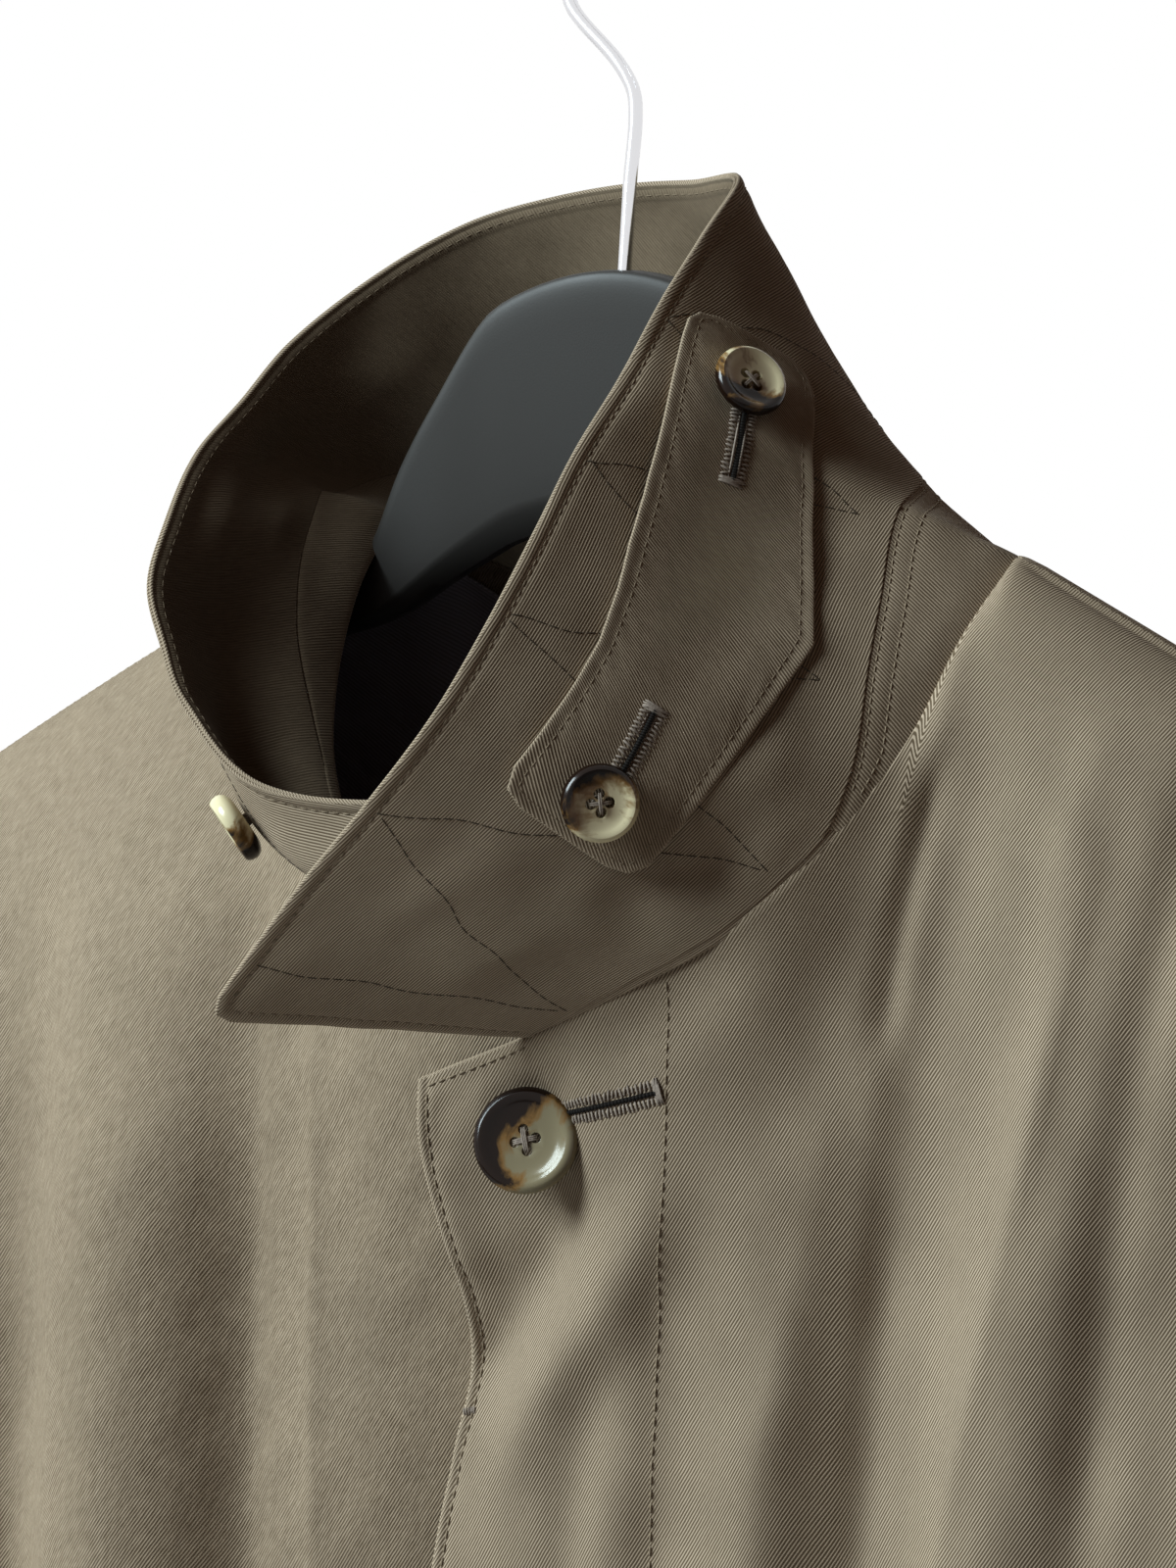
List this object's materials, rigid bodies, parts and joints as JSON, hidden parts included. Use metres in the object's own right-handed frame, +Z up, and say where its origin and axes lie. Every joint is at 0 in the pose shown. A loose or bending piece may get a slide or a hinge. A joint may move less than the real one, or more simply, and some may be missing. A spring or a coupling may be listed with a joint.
{
  "type": "mackintosh coat on a coat hanger",
  "caption": "Knee-length fly-front mackintosh of taupe cotton gabardine, collar turned up and throat latch buttoned, hung on a contoured black hanger with a wire hook.",
  "frame": {"origin": "inside top of the hanger's hook, where it sits on a rail or peg", "axes": "+Z up, front of the coat facing -Y, wearer's left +X"},
  "size_m": [0.6564, 0.2095, 1.2094],
  "materials": {
    "gabardine": "matt twill",
    "lining": "smooth plain weave",
    "horn": "polished mottled horn",
    "hanger": "satin",
    "steel": "polished"
  },
  "bodies": {
    "root": {"front_left": "gabardine", "front_right": "gabardine", "back": "gabardine", "back_lining": "lining", "sleeve_left": "gabardine", "sleeve_right": "gabardine", "collar_fall": "gabardine", "collar_stand": "gabardine", "throat_latch": "gabardine", "front_button": "horn", "latch_button_upper": "horn", "latch_button_lower": "horn", "collar_button_right": "horn", "hanger_body": "hanger", "hanger_hook": "steel"}
  },
  "joints": []
}
